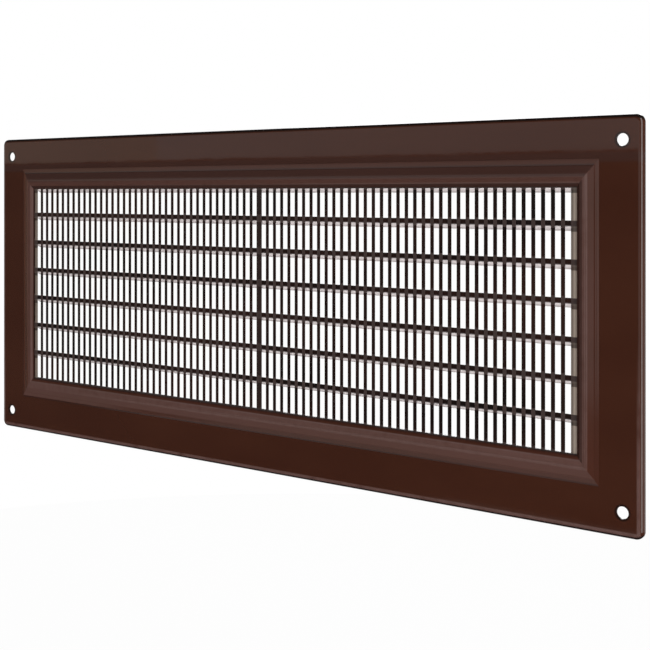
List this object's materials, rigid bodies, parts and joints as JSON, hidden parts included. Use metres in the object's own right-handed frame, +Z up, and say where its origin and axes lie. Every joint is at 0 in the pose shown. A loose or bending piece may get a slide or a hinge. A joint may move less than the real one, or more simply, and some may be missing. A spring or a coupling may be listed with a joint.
{
  "type": "ventilation grille",
  "caption": "Rectangular wall ventilation grille with a raised bezel, a grid of narrow upright slots in two halves, and screw holes in its corners.",
  "frame": {"origin": "centre of the four screw holes, on the wall plane that the back of the rim meets", "axes": "+X to the right as seen from the front, +Z up, the front faces -Y and the wall is at +Y"},
  "size_m": [0.35, 0.0071, 0.15],
  "materials": {
    "brown_plastic": "dark chocolate brown moulded plastic, semi-gloss, with a slight moulded ripple"
  },
  "bodies": {
    "root": {"wall_flange": "brown_plastic", "bezel_ring": "brown_plastic", "left_grid": "brown_plastic", "right_grid": "brown_plastic"}
  },
  "joints": []
}
